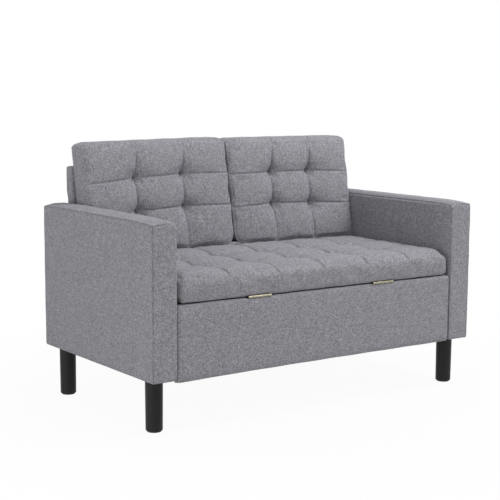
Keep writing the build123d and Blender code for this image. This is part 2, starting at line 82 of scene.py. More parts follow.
def ramp(tree, share, *stops):
    """A colour ramp over a 0 to 1 socket. Each stop is a place and a hex colour."""
    made = add_node(tree, "ShaderNodeValToRGB", {"Fac": share})
    while len(made.color_ramp.elements) < len(stops):
        made.color_ramp.elements.new(0.5)
    for element, (place, colour) in zip(made.color_ramp.elements, stops):
        element.position, element.color = place, linear(colour)
    return made.outputs["Color"]


def sawn_wood(name, stops, grain_mm, roughness):
    """Wood whose grain is drawn out along X, with fine pores and a trace of saw texture."""
    material, tree, shader = start_material(name, Roughness=roughness)
    place = add_node(tree, "ShaderNodeTexCoord").outputs["Object"]
    along = add_node(tree, "ShaderNodeMapping", {"Vector": place, "Scale": per_metre(*grain_mm)})
    rings = add_node(tree, "ShaderNodeTexNoise", {
        "Vector": along.outputs["Vector"], "Scale": 1.0, "Detail": 4.0, "Distortion": 0.6})
    fine = add_node(tree, "ShaderNodeMapping", {
        "Vector": place, "Scale": [s * 7 for s in per_metre(*grain_mm)]})
    pores = add_node(tree, "ShaderNodeTexNoise", {
        "Vector": fine.outputs["Vector"], "Scale": 1.0, "Detail": 2.0})
    tone = add_node(tree, "ShaderNodeMix", {
        "Factor": 0.35, "A": rings.outputs["Fac"], "B": pores.outputs["Fac"]}, data_type="FLOAT")
    tree.links.new(ramp(tree, tone.outputs["Result"], *stops), shader.inputs["Base Color"])
    bump = add_node(tree, "ShaderNodeBump", {
        "Strength": 0.25, "Distance": 0.0006, "Height": pores.outputs["Fac"]})
    tree.links.new(bump.outputs["Normal"], shader.inputs["Normal"])
    return material


def finish_nodes(material, *nodes):
    """Give CAD nodes their finish."""
    for name in nodes:
        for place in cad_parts[name].material_slots:
            place.material = material


# Planed pine: pale yellow with warmer late-wood lines about 5 mm apart along each batten.
pine = sawn_wood("planed_pine", [(0.3, "#b98f5c"), (0.5, "#dcbd8b"), (0.7, "#ecd6ab")], (160, 5, 5), 0.55)
# Birch plywood: even cream face veneer with a soft wide figure.
birch = sawn_wood("birch_plywood", [(0.3, "#c4a176"), (0.5, "#d8ba90"), (0.7, "#e6d0ab")], (220, 14, 14), 0.5)
# Hardboard: pressed brown fibre, so the figure has no direction.
hardboard = sawn_wood("pressed_hardboard", [(0.3, "#6b4a30"), (0.5, "#80593a"), (0.7, "#946b48")],
                      (6, 6, 6), 0.6)

finish_nodes(pine, "left_arm_frame", "right_arm_frame", "back_frame", "front_rail", "floor_ledgers",
             "floor_bearers", "lid_rest_rail")
finish_nodes(birch, "front_panel_board", "left_base_board", "right_base_board", "base_rear_board",
             "ledge_riser", "ledge_board", "seat_board")
finish_nodes(hardboard, "left_arm_inner_board", "right_arm_inner_board", "left_arm_outer_board",
             "right_arm_outer_board", "back_front_board", "back_rear_board", "storage_floor")


# Bolts, washers, tee nuts and screws: zinc-plated steel from stock, holding arms, back and legs to the
# base. Zinc plate is bright grey with a faint cloudy spangle.
def plated_metal(name, dark, pale, cloud_mm, roughness):
    """Metal whose colour and gloss cloud a little over the surface."""
    material, tree, shader = start_material(name, Metallic=1.0)
    place = add_node(tree, "ShaderNodeTexCoord").outputs["Object"]
    cloud = add_node(tree, "ShaderNodeTexNoise", {
        "Vector": place, "Scale": per_metre(cloud_mm)[0], "Detail": 3.0}).outputs["Fac"]
    tree.links.new(ramp(tree, cloud, (0.35, dark), (0.65, pale)), shader.inputs["Base Color"])
    gloss = add_node(tree, "ShaderNodeMapRange", {
        "Value": cloud, "To Min": roughness - 0.06, "To Max": roughness + 0.08})
    tree.links.new(gloss.outputs["Result"], shader.inputs["Roughness"])
    return material


zinc = plated_metal("zinc_plated_steel", "#a9adb0", "#c8cbcd", 9, 0.34)
finish_nodes(zinc, "arm_bolts", "arm_washers", "arm_tee_nuts", "back_bolts", "back_washers", "back_tee_nuts",
             "leg_bolts", "leg_tee_nuts")


# Legs: turned beech, sprayed near-black in a satin lacquer, screwed into the base on hanger bolts, each
# with a moulded nylon glide.
lacquer, tree, shader = start_material("satin_black_lacquer", IOR=1.5, Specular_IOR_Level=0.22)
place = add_node(tree, "ShaderNodeTexCoord").outputs["Object"]
grain = add_node(tree, "ShaderNodeMapping", {"Vector": place, "Scale": per_metre(3, 3, 70)})
lines = add_node(tree, "ShaderNodeTexNoise", {
    "Vector": grain.outputs["Vector"], "Scale": 1.0, "Detail": 3.0}).outputs["Fac"]
tree.links.new(ramp(tree, lines, (0.35, "#151517"), (0.65, "#1e1e21")), shader.inputs["Base Color"])
gloss = add_node(tree, "ShaderNodeMapRange", {"Value": lines, "To Min": 0.42, "To Max": 0.54})
tree.links.new(gloss.outputs["Result"], shader.inputs["Roughness"])
bump = add_node(tree, "ShaderNodeBump", {"Strength": 0.12, "Distance": 0.0003, "Height": lines})
tree.links.new(bump.outputs["Normal"], shader.inputs["Normal"])

nylon, tree, shader = start_material("moulded_nylon", IOR=1.53, Specular_IOR_Level=0.3)
place = add_node(tree, "ShaderNodeTexCoord").outputs["Object"]
pits = add_node(tree, "ShaderNodeTexNoise", {
    "Vector": place, "Scale": per_metre(0.8)[0], "Detail": 2.0}).outputs["Fac"]
tree.links.new(ramp(tree, pits, (0.3, "#161617"), (0.7, "#202022")), shader.inputs["Base Color"])
gloss = add_node(tree, "ShaderNodeMapRange", {"Value": pits, "To Min": 0.5, "To Max": 0.66})
tree.links.new(gloss.outputs["Result"], shader.inputs["Roughness"])

finish_nodes(lacquer, "front_left_leg", "front_right_leg", "rear_left_leg", "rear_right_leg")
finish_nodes(nylon, "leg_glides")


# Arms: a timber box faced with hardboard, wadded all round and covered in one cloth. The cloth is sewn
# along both top edges and down the front edges, and stapled under the arm.
def heathered_cloth(name):
    """Plain-woven polyester of a linen look: each thread is spun from darker and paler grey fibre, so warp
    and weft show as short crossing dashes. Threads are drawn 1 mm apart, a little coarser than real ones,
    so that they show in the render; a dash is about 5 mm long."""
    thread_mm, dash_mm, patch_mm = 1.0, 5, 60
    darkest, palest = 0.69, 1.59
    material, tree, shader = start_material(
        name, Roughness=0.92, Sheen_Weight=0.15, Sheen_Roughness=0.5, Sheen_Tint=linear("#e8e6f0"),
        Specular_IOR_Level=0.25)
    cloth = add_node(tree, "ShaderNodeUVMap", uv_map="weave").outputs["UV"]
    # Warp dashes, weft dashes and single stitches, each with its weight in the sum of tones.
    tone = 0.5
    for sizes, weight in (((thread_mm, dash_mm, 1000), 0.46), ((dash_mm, thread_mm, 1000), 0.38),
                          ((thread_mm, thread_mm, 1000), 0.36)):
        across = 0 if sizes[0] == thread_mm else 1
        threads = add_node(tree, "ShaderNodeMapping", {"Vector": cloth, "Scale": per_metre(*sizes)})
        count = add_node(tree, "ShaderNodeSeparateXYZ", {
            0: add_node(tree, "ShaderNodeVectorMath", {0: threads.outputs[0]}, operation="FLOOR").outputs[0]})
        stagger = add_node(tree, "ShaderNodeTexWhiteNoise", {"W": count.outputs[across]},
                           noise_dimensions="1D").outputs["Color"]
        shifted = add_node(tree, "ShaderNodeVectorMath", {
            0: stagger, 1: [0, 1, 0] if across == 0 else [1, 0, 0], 2: threads.outputs[0]},
            operation="MULTIPLY_ADD")
        dash = add_node(tree, "ShaderNodeTexWhiteNoise", {
            "Vector": add_node(tree, "ShaderNodeVectorMath", {0: shifted.outputs[0]},
                               operation="FLOOR").outputs[0]}, noise_dimensions="2D")
        tone = add_node(tree, "ShaderNodeMath", {0: dash.outputs["Value"], 1: weight, 2: tone},
                        operation="MULTIPLY_ADD").outputs["Value"]
    patch = add_node(tree, "ShaderNodeTexNoise", {
        "Vector": cloth, "Scale": per_metre(patch_mm)[0], "Detail": 3.0},
        noise_dimensions="2D").outputs["Fac"]
    tone = add_node(tree, "ShaderNodeMath", {0: patch, 1: 0.06, 2: tone},
                    operation="MULTIPLY_ADD").outputs["Value"]
    share = add_node(tree, "ShaderNodeMapRange", {"Value": tone, "From Min": darkest, "From Max": palest})
    colour = ramp(tree, share.outputs["Result"], (0.0, "#646369"), (0.5, "#8e8d93"), (1.0, "#b7b6bc"))
    tree.links.new(colour, shader.inputs["Base Color"])
    bump = add_node(tree, "ShaderNodeBump", {
        "Strength": 0.2, "Distance": 0.0004, "Height": share.outputs["Result"]})
    tree.links.new(bump.outputs["Normal"], shader.inputs["Normal"])
    return material


grey_cloth = heathered_cloth("heathered_grey_cloth")


def grid_lines(low, high, step, close=(), fine=0.0011, ring=4):
    """Lines from low to high about a step apart, and closer together about each place in close."""
    lines = np.linspace(low, high, max(2, round((high - low) / step) + 1))
    for mark in close:
        near = mark + fine * np.arange(-ring, ring + 1)
        near = near[(near > low) & (near < high)]
        lines = np.concatenate([lines[abs(lines - mark) > fine * (ring + 0.5)], near])
    lines = np.unique(np.concatenate([[low, high], lines]).round(6))
    return lines[np.concatenate([[True], np.diff(lines) > fine / 2])]


def ease(share):
    """Smooth step from 0 to 1."""
    share = np.clip(share, 0, 1)
    return share * share * (3 - 2 * share)


class Wrapped:
    """A block's surface as one closed grid: its points, its quads, and the side that each quad is on."""

    def __init__(self, *lines):
        counts = [len(axis) for axis in lines]
        shell = np.zeros(counts, bool)
        shell[[0, -1]] = shell[:, [0, -1]] = shell[:, :, [0, -1]] = True
        self.lines, self.number = lines, np.full(counts, -1)
        self.number[shell] = np.arange(shell.sum())
        where = np.argwhere(shell)
        self.flat = np.column_stack([np.asarray(lines[a])[where[:, a]] for a in range(3)])
        self.low, self.high = self.flat.min(0), self.flat.max(0)
        quads, sides = [], []
        for axis in range(3):
            for end in (0, -1):
                sheet = np.take(self.number, end, axis=axis)
                corners = [sheet[:-1, :-1], sheet[1:, :-1], sheet[1:, 1:], sheet[:-1, 1:]]
                if (axis == 1) == (end == -1):
                    corners.reverse()
                quads.append(np.stack(corners, -1).reshape(-1, 4))
                sides.append(np.full(len(quads[-1]), 2 * axis - end))
        self.quads, self.sides = np.concatenate(quads), np.concatenate(sides)

    def round(self, radii, near_top=None):
        """Round the edges. radii[x][y][z] are the X, Y and Z radii at the low or high corner. Those of the
        upper corners hold only within near_top of the top, where it is given."""
        share = (self.flat - self.low) / (self.high - self.low)
        if near_top:
            share[:, 2] = ease((self.flat[:, 2] - self.high[2] + near_top) / near_top)
        reach = np.zeros_like(self.flat)
        for corner in np.ndindex(2, 2, 2):
            weight = np.prod(np.where(corner, share, 1 - share), axis=1)
            reach += weight[:, None] * np.asarray(radii)[corner]
        core = np.clip(self.flat, self.low + reach, self.high - reach)
        turned = (self.flat - core) / reach
        turned /= np.linalg.norm(turned, axis=1, keepdims=True)
        self.points = core + reach * turned
        self.out = turned / reach
        self.out /= np.linalg.norm(self.out, axis=1, keepdims=True)

    def carried(self, values, flat):
        """Values at this grid's points, read off between them at other places on the same block."""
        read = np.zeros((len(flat), values.shape[1]))
        for axis in range(3):
            pair = [a for a in range(3) if a != axis]
            for end, level in ((0, self.low[axis]), (-1, self.high[axis])):
                here = np.abs(flat[:, axis] - level) < 1e-6
                sheet = values[np.take(self.number, end, axis=axis)]
                place = [np.interp(flat[here, a], self.lines[a], np.arange(len(self.lines[a]))) for a in pair]
                i, j = (np.minimum(p.astype(int), len(self.lines[a]) - 2) for p, a in zip(place, pair))
                s, r = (place[0] - i)[:, None], (place[1] - j)[:, None]
                read[here] = ((1 - s) * ((1 - r) * sheet[i, j] + r * sheet[i, j + 1])
                              + s * ((1 - r) * sheet[i + 1, j] + r * sheet[i + 1, j + 1]))
        return read

    def weave(self, turned=()):
        """Cloth coordinates in metres for each quad's corners. A side in turned has its warp across."""
        uv = np.empty((len(self.quads), 4, 2))
        for side in range(6):
            here = self.sides == side
            axes = [a for a in range(3) if a != side // 2]
            if side in turned:
                axes.reverse()
            uv[here] = self.flat[self.quads[here]][:, :, axes] + 0.37 * side
        return uv


def soft_piece(name, points, quads, uv, material):
    """A smooth mesh object with its cloth coordinates."""
    mesh = bpy.data.meshes.new(name)
    mesh.from_pydata(points.tolist(), [], quads.tolist())
    mesh.uv_layers.new(name="weave").data.foreach_set("uv", uv.ravel())
    mesh.shade_smooth()
    mesh.materials.append(material)
    piece = bpy.data.objects.new(name, mesh)
    bpy.context.scene.collection.objects.link(piece)
    return piece


def ripple(points, height, length_mm):
    """Slow waves such as wadding leaves under cloth."""
    k = 2 * math.pi * 1000 / length_mm
    x, y, z = points.T * k
    return height * (np.sin(x + 0.7 * z + 1.3) * np.sin(0.8 * y - 0.4 * z + 0.5)
                     + 0.6 * np.sin(1.7 * y + 0.9 * x + 2.1) * np.sin(1.3 * z + 0.2))


def sewn(distance, depth, width=0.0022):
    """Depth that a seam pulls the cloth in, at a distance from its line. Away from it, 1 m is given."""
    return depth * np.exp(-(distance / width) ** 2)


top_edge_seam, front_edge_seam, front_top_seam, inner_seam = 0.003, 0.003, 0.006, 0.010
corner_turn, corner_inset, seam_depth, face_swell = 0.014, 0.006, 0.003, 0.0025
edge_rise, crest_rise, front_fall, rear_fall, arch_reach = 0.006, 0.011, 0.005, 0.004, 0.06
arm_proud, arm_hem, turn_reach = 0.002, 0.0015, 0.03
for side_name, side in (("left", -1), ("right", 1)):
    low, high = (np.array(corner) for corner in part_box(f"{side_name}_arm_cover"))
    outer, inner = (low[0], high[0]) if side < 0 else (high[0], low[0])
    front, rear, top = low[1], high[1], high[2]
    near_outer = outer - side * front_edge_seam
    wrap = Wrapped(
        grid_lines(low[0], high[0], 0.006, (near_outer,)),
        grid_lines(front, rear, 0.008, (front + 0.007,), ring=6),
        grid_lines(low[2], top, 0.008, (top - top_edge_seam, top - front_top_seam, top - inner_seam)))
    radii = np.full((2, 2, 2, 3), 0.005)
    outward, inward = (0, 1) if side < 0 else (1, 0)
    radii[outward, 1, 1] = 0.005, 0.006, 0.006
    radii[inward, 0, 1] = 0.028, 0.006, 0.017
    radii[inward, 1, 1] = 0.020, 0.012, 0.020
    radii[:, 0, 0] = 0.005, 0.005, 0.006
    wrap.round(radii, near_top=0.05)
    x, y, z = wrap.flat.T
    share = (wrap.flat - low) / (high - low)
    swell = face_swell * np.prod(1 - np.abs(2 * share[:, 1:] - 1) ** 4, axis=1)
    swell = np.where(np.abs(wrap.out[:, 0]) > 0.9, swell, 0)
    to_outer, to_inner, to_front, to_top = abs(x - outer), abs(x - inner), y - front, top - z
    on_outer, on_inner, on_front = to_outer < 1e-6, to_inner < 1e-6, to_front < 1e-6
    pull = sewn(np.where(on_outer, to_top - top_edge_seam, to_outer + top_edge_seam), seam_depth)
    round_front = np.where(on_outer, to_front + front_edge_seam, 1)
    pull += sewn(np.where(on_front, to_outer - front_edge_seam, round_front), seam_depth)
    pull += sewn(np.where(on_front, to_top - front_top_seam, 1), seam_depth) * ease((to_inner - 0.02) / 0.03)
    past_front, past_top = corner_turn - to_front + corner_inset, corner_turn - to_top + inner_seam
    turned = np.hypot(np.maximum(past_front, 0), np.maximum(past_top, 0)) - corner_turn
    pull += sewn(np.where(on_inner, turned, 1), seam_depth)
    points = wrap.points + wrap.out * (swell - pull + ripple(wrap.points, 0.0004, 130))[:, None]
    arch = edge_rise + (crest_rise - edge_rise) * ease(to_outer / 0.035)
    arch -= front_fall * np.clip(1 - to_front / 0.11, 0, 1) ** 2
    arch -= rear_fall * np.clip(1 - (rear - y) / 0.12, 0, 1) ** 2
    points[:, 2] += arch * ease((z - top + arch_reach) / arch_reach)
    points[:, 2] -= arm_hem * ease(1 - (z - low[2]) / turn_reach)
    points[:, 0] += side * arm_proud * ease(1 - to_outer / turn_reach)
    points[:, 1] += arm_proud * (ease(1 - (rear - y) / turn_reach) - ease(1 - to_front / turn_reach))
    arm = soft_piece(f"{side_name}_arm_upholstery", points, wrap.quads, wrap.weave(), grey_cloth)
    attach(arm, "frame")
    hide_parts(f"{side_name}_arm_cover")


# Back: a hardboard-faced frame between the arms in the same wadded cloth, its cover drawn over the top
# and stapled below. The loose cushions lean on its front.
low, high = (np.array(corner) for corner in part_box("back_cover"))
top_seam, arm_crest, back_swell, widening = 0.012, 0.59, 0.003, 0.004
wrap = Wrapped(
    grid_lines(low[0], high[0], 0.012),
    grid_lines(low[1], high[1], 0.005),
    grid_lines(low[2], high[2], 0.010, (high[2] - top_seam,)))
radii = np.full((2, 2, 2, 3), 0.004)
radii[:, :, 1] = 0.005, 0.006, 0.007
wrap.round(radii)
x, y, z = wrap.flat.T
on_face = (y - low[1] < 1e-6) | (high[1] - y < 1e-6)
share = (wrap.flat - low) / (high - low)
swell = back_swell * np.prod(1 - np.abs(2 * share[:, [0, 2]] - 1) ** 4, axis=1)
swell *= np.abs(wrap.out[:, 1]) > 0.9
pull = sewn(np.where(on_face, high[2] - z - top_seam, 1), 0.0018)
points = wrap.points + wrap.out * (swell - pull + ripple(wrap.points, 0.0005, 150))[:, None]
right_end, left_end = (ease(1 - to_end / turn_reach) for to_end in (high[0] - x, x - low[0]))
points[:, 0] += widening * ease((z - arm_crest) / 0.04) * (right_end - left_end)
back = soft_piece("back_upholstery", points, wrap.quads, wrap.weave(), grey_cloth)
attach(back, "frame")
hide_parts("back_cover")


# Front panel: a plywood board wadded and covered in the cloth, which turns back over the rail behind its
# top edge, where the lower hinge leaves are screwed down on it.
def joined_piece(name, parts, material):
    """One object from several closed forms, each its points, quads and cloth coordinates."""
    starts = np.cumsum([0] + [len(points) for points, quads, uv in parts])
    return soft_piece(name, np.concatenate([points for points, quads, uv in parts]),
                      np.concatenate([quads + start for (points, quads, uv), start in zip(parts, starts)]),
                      np.concatenate([uv for points, quads, uv in parts]), material)


hinge_ends = [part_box(f"{side_name}_hinge_pin")[end][0] for side_name in ("left", "right") for end in (0, 1)]


def beside_hinges(x):
    """0 over each hinge and 1 away from both, where the cloth closes the gap between panel and seat."""
    barrels = zip(hinge_ends[::2], hinge_ends[1::2])
    past = np.min([np.maximum(start - x, x - end) for start, end in barrels], axis=0)
    return ease((past - 0.001) / 0.006)


low, high = (np.array(corner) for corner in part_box("front_panel_cover"))
cloth_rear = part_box("front_panel_board")[1][1] - 0.0006
rail_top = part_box("front_rail")[1][2]
top_fullness, corner_drop, corner_reach, panel_swell = 0.0016, 0.001, 0.014, 0.002
panel_hem, hem_slope, hem_reach, panel_proud = 0.0002, 0.006, 0.08, 0.0025
end_spread, end_reach, flange_lift, flange_end = 0.0012, 0.05, 0.0012, 0.482
wrap = Wrapped(
    grid_lines(low[0], high[0], 0.010, hinge_ends, 0.002, 5),
    grid_lines(low[1], cloth_rear, 0.0025),
    grid_lines(low[2], high[2] - 0.0004, 0.008))
radii = np.full((2, 2, 2, 3), 0.004)
radii[:, 0, 1] = 0.006, 0.005, 0.004
radii[:, 0, 0] = 0.005, 0.005, 0.006
radii[:, 1] = 0.0006
wrap.round(radii)
x, y, z = wrap.flat.T
share = (wrap.flat - wrap.low) / (wrap.high - wrap.low)
swell = panel_swell * np.prod(1 - np.abs(2 * share[:, [0, 2]] - 1) ** 6, axis=1) * (wrap.out[:, 1] < -0.9)
points = wrap.points + wrap.out * (swell + ripple(wrap.points, 0.0003, 140))[:, None]
near_top = ease((z - wrap.high[2] + 0.02) / 0.02) * ease((cloth_rear - y) / 0.008)
to_end = np.minimum(x - low[0], high[0] - x)
points[:, 2] += near_top * (top_fullness * beside_hinges(x) - corner_drop * ease(1 - to_end / corner_reach))
near_hem = ease((low[2] + hem_reach - z) / hem_reach)
points[:, 2] -= near_hem * (panel_hem + hem_slope * (1 - share[:, 0]) ** 4)
points[:, 1] -= panel_proud * np.clip(-wrap.out[:, 1], 0, 1)
points[:, 0] += end_spread * ease(1 - (high[0] - x) / end_reach)
flange = Wrapped(grid_lines(low[0] + 0.002, high[0] - 0.002, 0.02),
                 grid_lines(cloth_rear - 0.003, high[1], 0.006),
                 grid_lines(rail_top + 0.0002, high[2] - 0.0003, 0.0005, fine=0.0004))
flange.round(np.full((2, 2, 2, 3), 0.0004))
flange.points[:, 2] += flange_lift * ease((np.abs(flange.points[:, 0]) - flange_end) / 0.008)
panel = joined_piece("front_panel_upholstery", [(points, wrap.quads, wrap.weave(turned=(2,))),
                                                (flange.points, flange.quads, flange.weave())], grey_cloth)
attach(panel, "frame")
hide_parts("front_panel_cover")


# Ledge under the back cushions: a thin wadded pad in the same cloth over the ledge board, turned down its
# front edge. The cushions stand on it, so little of it shows.
low, high = (np.array(corner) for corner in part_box("ledge_pad"))
board_low, board_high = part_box("ledge_board")
pads = []
for pad_low, pad_high in ((np.array([low[0], low[1], board_high[2] + 0.0004]), high),
                          (low, np.array([high[0], board_low[1] - 0.0004, high[2] - 0.001]))):
    wrap = Wrapped(*(grid_lines(a, b, step) for a, b, step in zip(pad_low, pad_high, (0.02, 0.004, 0.004))))
    wrap.round(np.full((2, 2, 2, 3), 0.0024))
    points = wrap.points + wrap.out * ripple(wrap.points, 0.0002, 120)[:, None]
    pads.append((points, wrap.quads, wrap.weave()))
pad = joined_piece("ledge_upholstery", pads, grey_cloth)
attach(pad, "frame")
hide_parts("ledge_pad")


# Felt pads on the rest rail, glued where the closed seat comes down: pressed wool fibre, soft at its cut
# edges.
felt, tree, shader = start_material("pressed_wool_felt", Roughness=0.97, Sheen_Weight=0.3)
place = add_node(tree, "ShaderNodeTexCoord").outputs["Object"]
fibre = add_node(tree, "ShaderNodeTexNoise", {
    "Vector": place, "Scale": per_metre(1.5)[0], "Detail": 5.0, "Roughness": 0.7}).outputs["Fac"]
tree.links.new(ramp(tree, fibre, (0.3, "#3c3b3d"), (0.7, "#59585b")), shader.inputs["Base Color"])
bump = add_node(tree, "ShaderNodeBump", {"Strength": 0.5, "Distance": 0.0005, "Height": fibre})
tree.links.new(bump.outputs["Normal"], shader.inputs["Normal"])


def islands(node):
    """Boxes of the separate solids in a CAD node that stand apart along X."""
    corners = np.array([v.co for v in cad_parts[node].data.vertices])
    order = corners[np.argsort(corners[:, 0])]
    cuts = np.flatnonzero(np.diff(order[:, 0]) > 0.04) + 1
    return [(group.min(0), group.max(0)) for group in np.split(order, cuts)]


pads = []
for pad_low, pad_high in islands("lid_rest_pads"):
    wrap = Wrapped(*(grid_lines(a, b, 0.003) for a, b in zip(pad_low, pad_high)))
    wrap.round(np.full((2, 2, 2, 3), 0.0009))
    pads.append((wrap.points, wrap.quads, wrap.weave()))
rests = joined_piece("felt_rest_pads", pads, felt)
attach(rests, "frame")
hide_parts("lid_rest_pads")


# Hinges: two rolled butt hinges and their screws, all in dull brass, between the front rail and the seat
# board. Only their barrels show in front while the seat is shut.
brass = plated_metal("dull_brass", "#8d8775", "#aaa491", 6, 0.34)
for side_name in ("left", "right"):
    finish_nodes(brass, f"{side_name}_hinge_lower_leaf", f"{side_name}_hinge_upper_leaf",
                 f"{side_name}_hinge_pin")
finish_nodes(brass, "lower_hinge_screws", "upper_hinge_screws")


# Seat lid: a plywood board with a block of foam under a tufted cover of six by three sewn squares, tied
# down where the seams cross. The front band below the squares is plain.
def tied_down(u, v, u_seams, v_seams, depth, reach, nip):
    """Depth that the ties, where seams cross, pull into a padded face. It reaches further along the seams,
    and the filling hangs over each tie from above. Nip is the share that lies close about the tie."""
    pulled = np.zeros_like(u)
    for tie_u in u_seams:
        for tie_v in v_seams:
            across, along = u - tie_u, v - tie_v
            along = along * np.where(along > 0, 1.5, 0.8)
            away = np.hypot(across, along) + 1e-6
            between = 2 * np.abs(across * along) / away ** 2
            wide, close = away * (1 + 0.35 * between) / reach, away / (0.3 * reach)
            pulled += depth * ((1 - nip) * np.exp(-wide ** 1.3) + nip * np.exp(-close ** 1.2))
    return pulled


def pinched(u, v, u_seams, v_seams, depth):
    """Depth of the folds that run out from each tie along the seams, furthest above it."""
    folded = np.zeros_like(u)
    for tie_u in u_seams:
        for tie_v in v_seams:
            across, along = np.abs(u - tie_u), v - tie_v
            upright = -(across / 0.006) ** 1.3 - np.where(along > 0, along / 0.028, -along / 0.012)
            level = -(np.abs(along) / 0.005) ** 1.3 - across / 0.018
            folded += depth * np.maximum(np.exp(upright), 0.5 * np.exp(level))
    return folded


def to_nearest(places, seams):
    """Distance to the nearest of a row of seams."""
    return np.abs(places[:, None] - seams).min(1)


def crease(distance, depth, width):
    """Depth of the fine crease along a row of stitches."""
    return depth * np.exp(-(distance / width) ** 1.4)


def hold(still, on_face, to_u, to_v):
    """How firmly each point is held while a cover fills out: fully where it is still and on the face's ties,
    and less along the face's seams."""
    tie, seam = np.hypot(to_u, to_v) < 1e-4, np.minimum(to_u, to_v) < 1e-4
    return np.where(still | on_face & tie, 1, np.where(on_face & seam, 0.4, 0))


def quilting(places, edges, sag=1.0):
    """0 on the edges of each sewn strip and 1 where it is fullest, which is low down where filling sags."""
    strip = np.clip(np.searchsorted(edges, places) - 1, 0, len(edges) - 2)
    share = np.clip((places - edges[strip]) / (edges[strip + 1] - edges[strip]), 0, 1) ** sag
    return 4 * share * (1 - share)


def strips(edges, step):
    """Grid lines that divide each strip between edges evenly."""
    runs = [np.linspace(a, b, round((b - a) / step) + 1)[:-1] for a, b in zip(edges, edges[1:])]
    return np.concatenate(runs + [[edges[-1]]])


def filled_out(wrap, points, held, pressure, growth, cap):
    """How far the filling presses each point of a cover out between the held ones: a short cloth simulation
    without gravity, on a mesh that is then removed."""
    piece = soft_piece("filling", points, wrap.quads, wrap.weave(), grey_cloth)
    group = piece.vertex_groups.new(name="held")
    for index in np.flatnonzero(held > 0):
        group.add([int(index)], float(held[index]), "REPLACE")
    cloth = piece.modifiers.new("filling", "CLOTH")
    cloth.settings.vertex_group_mass = "held"
    cloth.settings.use_pressure = True
    cloth.settings.uniform_pressure_force = pressure
    cloth.settings.effector_weights.gravity = 0
    cloth.settings.shrink_min = -growth
    for step in range(1, 21):
        bpy.context.scene.frame_set(step)
    filled = np.empty(points.size)
    piece.evaluated_get(bpy.context.evaluated_depsgraph_get()).data.vertices.foreach_get("co", filled)
    move = filled.reshape(-1, 3) - points
    move *= np.minimum(1, cap / np.maximum(np.linalg.norm(move, axis=1), 1e-9))[:, None]
    bpy.context.scene.frame_set(1)
    mesh = piece.data
    bpy.data.objects.remove(piece)
    bpy.data.meshes.remove(mesh)
    return move


low, high = (np.array(corner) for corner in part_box("seat_cover"))
swell_room, pillow, seam_fall, lip_drop, lip_notch = 0.003, 0.005, 0.0195, 0.0008, 0.0014
tie_depth, tie_reach, overhang, end_turn, right_fall = 0.028, 0.050, 0.007, 0.014, 0.003
seat_low, seat_high = low - [0, 0, lip_drop], high - [0, 0, seam_fall]
lining_low, lining_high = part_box("seat_lining")
tuck, tuck_reach, front_lap, slack = 0.004, 0.006, 0.008, 0.3
x_edges = np.linspace(low[0], high[0], 7)
y_edges = np.array([low[1], low[1] + 0.162, low[1] + 0.313, high[1]])
x_seams, y_seams = x_edges[1:-1], y_edges[1:-1]
radii = np.full((2, 2, 2, 3), 0.010)
radii[0, 0, 1] = 0.030, 0.036, 0.032
radii[1, 0, 1] = 0.045, 0.042, 0.040
radii[:, 1, 1] = 0.040, 0.022, 0.022
radii[:, 0, 0] = 0.018, 0.010, 0.005


def seat_form(wrap):
    """The seat's foam form before its cover fills out, and how far each point faces upwards. The underside is
    turned in behind the lining."""
    wrap.round(radii)
    x, y, z = wrap.flat.T
    upward = np.clip(wrap.out[:, 2], 0, 1)
    full = quilting(x, x_edges) ** 0.5 * (0.4 + 0.6 * quilting(y, y_edges, 0.65) ** 0.5)
    front_swell = overhang * np.sin(math.pi * (z - low[2]) / (high[2] - low[2]))
    points = wrap.points + wrap.out * ripple(wrap.points, 0.0006, 110)[:, None]
    ties = tied_down(x, y, x_seams, y_seams, tie_depth, tie_reach, nip=0.35)
    points[:, 2] += upward * (pillow * full - ties * (1 - slack * ease((x + 0.1) / 0.4)))
    points[:, 2] -= right_fall * upward * ease((x - 0.1) / 0.35)
    points[:, 1] -= front_swell * np.clip(-wrap.out[:, 1], 0, 1)
    past_end = np.clip(1 - np.minimum(x - low[0], high[0] - x) / end_turn, 0, 1)
    points[:, 2] += end_turn * (1 - np.sqrt(1 - past_end ** 2)) * ease(1 - (z - seat_low[2]) / 0.03)
    at_lip = ease(1 - (y - low[1]) / 0.04) * ease(1 - (z - seat_low[2]) / 0.015)
    points[:, 2] += lip_notch * at_lip * (1 - beside_hinges(x))
    inside = np.min([x - lining_low[0], lining_high[0] - x,
                     y - lining_low[1] - front_lap, lining_high[1] - y], axis=0)
    points[:, 2] += tuck * ease((inside + tuck_reach) / tuck_reach) * (z - seat_low[2] < 1e-6)
    return points, upward


coarse = Wrapped(strips(x_edges, 0.008), strips(y_edges, 0.008),
                 grid_lines(seat_low[2], seat_high[2], 0.008))
points, upward = seat_form(coarse)
x, y, z = coarse.flat.T
held = hold(z < low[2] + 0.03, upward > 0.6, to_nearest(x, x_seams), to_nearest(y, y_seams))
move = filled_out(coarse, points, held, 3.0, 0.015, swell_room)
wrap = Wrapped(grid_lines(low[0], high[0], 0.006, [*x_seams, *hinge_ends], 0.0014, 6),
               grid_lines(low[1], high[1], 0.006, y_seams, 0.0014, 6),
               grid_lines(seat_low[2], seat_high[2], 0.006))
points, upward = seat_form(wrap)
points += coarse.carried(move, wrap.flat)
x, y, z = wrap.flat.T
creases = np.maximum(crease(to_nearest(x, x_seams), 0.003, 0.0026),
                     crease(to_nearest(y, y_seams), 0.0015, 0.0024))
folds = pinched(x, y, x_seams, y_seams, 0.005)
points -= wrap.out * ((creases + folds) * ease((upward - 0.15) / 0.3))[:, None]
seat = soft_piece("seat_upholstery", points, wrap.quads, wrap.weave(), grey_cloth)
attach(seat, "seat_lid")
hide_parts("seat_cover", "seat_foam")


